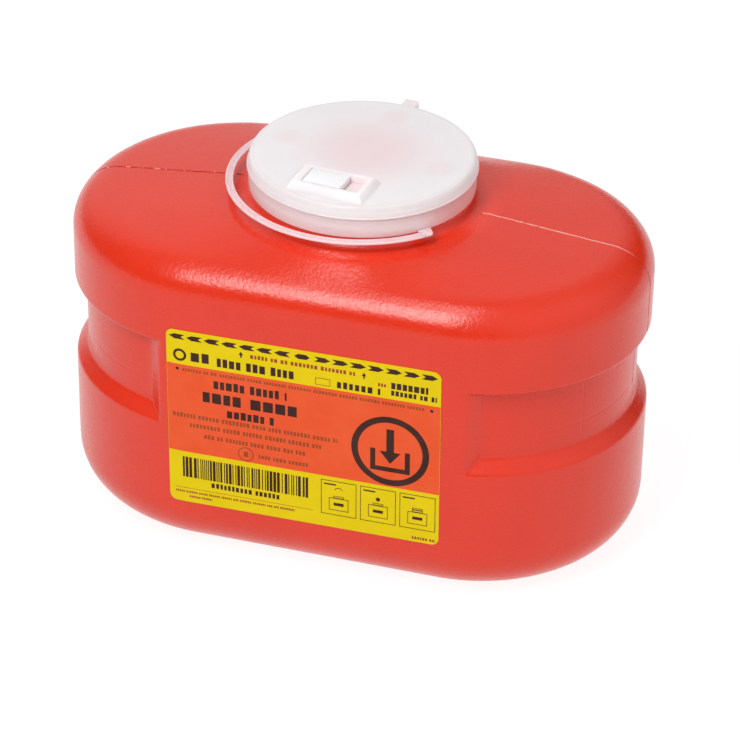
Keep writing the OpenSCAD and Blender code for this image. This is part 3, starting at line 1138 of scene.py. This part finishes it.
def fine_shapes():
    """Small print, thinner and paler than the rest."""
    draw = random.Random(23)
    shapes = []
    line = greeker(draw, shapes)
    line(-20.6, 31.5, 41.6, 1.7, letter=0.62, gap=0.3, word=7)
    shapes += outline_box(5.2, 24.9, 5.9, 3.1, 0.22)
    line(29.9, 28.7, 4.2, 1.4)
    line(-48.0, 21.0, 96.4, 1.4, letter=0.6, gap=0.28, word=9)
    line(-52.4, 0.1, 66.4, 1.9, letter=0.52, gap=0.24, word=9)
    line(-45.5, -3.9, 53.0, 1.9, letter=0.52, gap=0.24, word=9)
    line(-39.7, -8.2, 41.2, 1.9, letter=0.52, gap=0.24, word=9)
    shapes += ring_shapes((-22.9, -12.1), 2.75, 3.15, 32)
    shapes.append(bar(-23.8, -13.3, 1.8, 2.4))
    line(-17.8, -13.1, 20.3, 1.7, letter=0.56, gap=0.24, word=7)
    shapes.append(bar(-51.9, -32.5, 56.0, 0.14))
    line(-51.9, -34.6, 48.6, 0.95, letter=0.55, gap=0.28, word=8)
    line(-46.2, -36.6, 9.1, 0.95, letter=0.55, gap=0.28, word=8)
    line(43.9, -37.6, 9.3, 1.2, letter=0.6, gap=0.3, word=8)
    return shapes


def build_label():
    yellow = print_material("film_yellow", (0.70, 0.525, 0.004), (0.73, 0.55, 0.006))
    orange = print_material("film_orange", (0.74, 0.088, 0.026), (0.77, 0.102, 0.032))
    ink = print_material("print_ink", (0.045, 0.018, 0.014), (0.06, 0.026, 0.02))
    fine = print_material("print_fine", (0.30, 0.06, 0.02), (0.34, 0.075, 0.024))
    label_piece(
        "label_film", [film_outline()], LABEL_T, LABEL_T - 0.02, yellow, ("front_label",))
    panel = [bar(-LABEL_W / 2 + 0.1, PANEL_V[0], LABEL_W - 0.2, PANEL_V[1] - PANEL_V[0])]
    label_piece("label_panel", panel, LABEL_T + 0.03, INK_T, orange)
    label_piece("label_print", ink_shapes(), LABEL_T + 0.06, INK_T, ink)
    label_piece("label_small_print", fine_shapes(), LABEL_T + 0.05, INK_T, fine)


# ---------- build


def build_bottle():
    make_object(
        "bottle_shell", bottle_mesh(), "bottle", red_plastic(),
        ("container_body",))
    make_object("parting_flash", flash_mesh(), "bottle", flash_plastic())


def build_lid():
    make_object(
        "snap_collar", collar_mesh(), "bottle", collar_plastic(),
        ("funnel_collar",))
    make_object("lid_cap", cap_mesh(), "lid", cap_plastic(), ("cap",))
    make_object(
        "slide_latch", slide_mesh(), "slide", slide_plastic(), ("lock_slide",))


def build_tether():
    strap = strap_plastic()
    make_object(
        "tether_band", strap_mesh(), "bottle", strap, ("tether_strap",))
    make_object("tether_root", strap_root_mesh(), "bottle", strap)


# ---------- studio


def area_light(name, at, aim, size, power):
    """A soft rectangular light, placed and aimed in millimetres."""
    lamp = bpy.data.lights.new(name, "AREA")
    lamp.shape = "RECTANGLE"
    lamp.size, lamp.size_y = (s * MM for s in size)
    lamp.energy = power
    holder = add_object(name, lamp)
    holder.location = Vector(at) * MM
    holder.rotation_mode = "QUATERNION"
    way = (Vector(aim) - Vector(at)).normalized()
    holder.rotation_quaternion = way.to_track_quat("-Z", "Y")


def compass(azimuth, elevation):
    """Unit direction; azimuth 0 is the label's side, and 90 the right end."""
    az, el = radians(azimuth), radians(elevation)
    return Vector((sin(az) * cos(el), -cos(az) * cos(el), sin(el)))


WORLD_BASE = 0.20


def build_world():
    """Soft surroundings: brighter overhead, rear left and right, dimmer rear right."""
    world = bpy.data.worlds.new("studio")
    world.use_nodes = True
    tree = world.node_tree
    add, link = tree.nodes.new, tree.links.new
    way = add("ShaderNodeTexCoord").outputs["Generated"]
    level = None
    for direction, low, high, strength in (
        (Vector((0, 0, 1)), 0.1, 0.95, 0.22),
        (compass(-150, 35), 0.62, 0.95, 0.58),
        (compass(80, 25), 0.3, 0.95, 0.60),
        (compass(150, 12), 0.6, 0.95, -0.20),
    ):
        facing = add("ShaderNodeVectorMath")
        facing.operation = "DOT_PRODUCT"
        facing.inputs[1].default_value = direction
        link(way, facing.inputs[0])
        patch = add("ShaderNodeMapRange")
        patch.interpolation_type = "SMOOTHSTEP"
        for key, limit in {"From Min": low, "From Max": high, "To Max": strength}.items():
            patch.inputs[key].default_value = limit
        link(facing.outputs["Value"], patch.inputs["Value"])
        total = add("ShaderNodeMath")
        total.inputs[0].default_value = WORLD_BASE
        if level is not None:
            link(level, total.inputs[0])
        link(patch.outputs["Result"], total.inputs[1])
        level = total.outputs[0]
    link(level, tree.nodes["Background"].inputs["Strength"])
    tree.nodes["Background"].inputs["Color"].default_value = (1, 1, 1, 1)
    bpy.context.scene.world = world


def build_studio():
    build_world()
    floor_mesh = bpy.data.meshes.new("floor")
    half_m = 6.0
    corners = ((-1, -1), (1, -1), (1, 1), (-1, 1))
    floor_mesh.from_pydata([(x * half_m, y * half_m, 0) for x, y in corners], [], [(0, 1, 2, 3)])
    floor = add_object("floor", floor_mesh)
    floor_mesh.materials.append(floor_material())
    shoulder = (0, 0, 110)
    area_light("key", (-235, -875, 1080), shoulder, (380, 720), 9.6)
    area_light("top", (-120, -360, 1440), shoulder, (400, 320), 2.2)
    bpy.context.scene.view_settings.view_transform = "Standard"


CAMERA_AZIMUTH, CAMERA_ELEVATION, CAMERA_ROLL = 16.46, 31.83, 0.96
CAMERA_DISTANCE = 1383.65
CAMERA_AIM = (5.8, -5.3, 59.3)
CAMERA_LENS, CAMERA_SENSOR = 170.3, 36


def build_camera():
    """The camera, turned about its own line of sight by the roll."""
    az = radians(CAMERA_AZIMUTH)
    back = compass(CAMERA_AZIMUTH, CAMERA_ELEVATION)
    data = bpy.data.cameras.new("camera")
    data.lens = CAMERA_LENS
    data.sensor_width = CAMERA_SENSOR
    data.clip_start, data.clip_end = 0.05, 50
    camera = add_object("camera", data)
    level_right = Vector((cos(az), sin(az), 0))
    level_up = back.cross(level_right)
    roll = radians(CAMERA_ROLL)
    right = level_right * cos(roll) + level_up * sin(roll)
    up = back.cross(right)
    camera.rotation_mode = "QUATERNION"
    camera.rotation_quaternion = Matrix((right, up, back)).transposed().to_quaternion()
    camera.location = (Vector(CAMERA_AIM) + back * CAMERA_DISTANCE) * MM
    bpy.context.scene.camera = camera


build_camera()
build_studio()
build_bottle()
build_lid()
build_tether()
build_label()
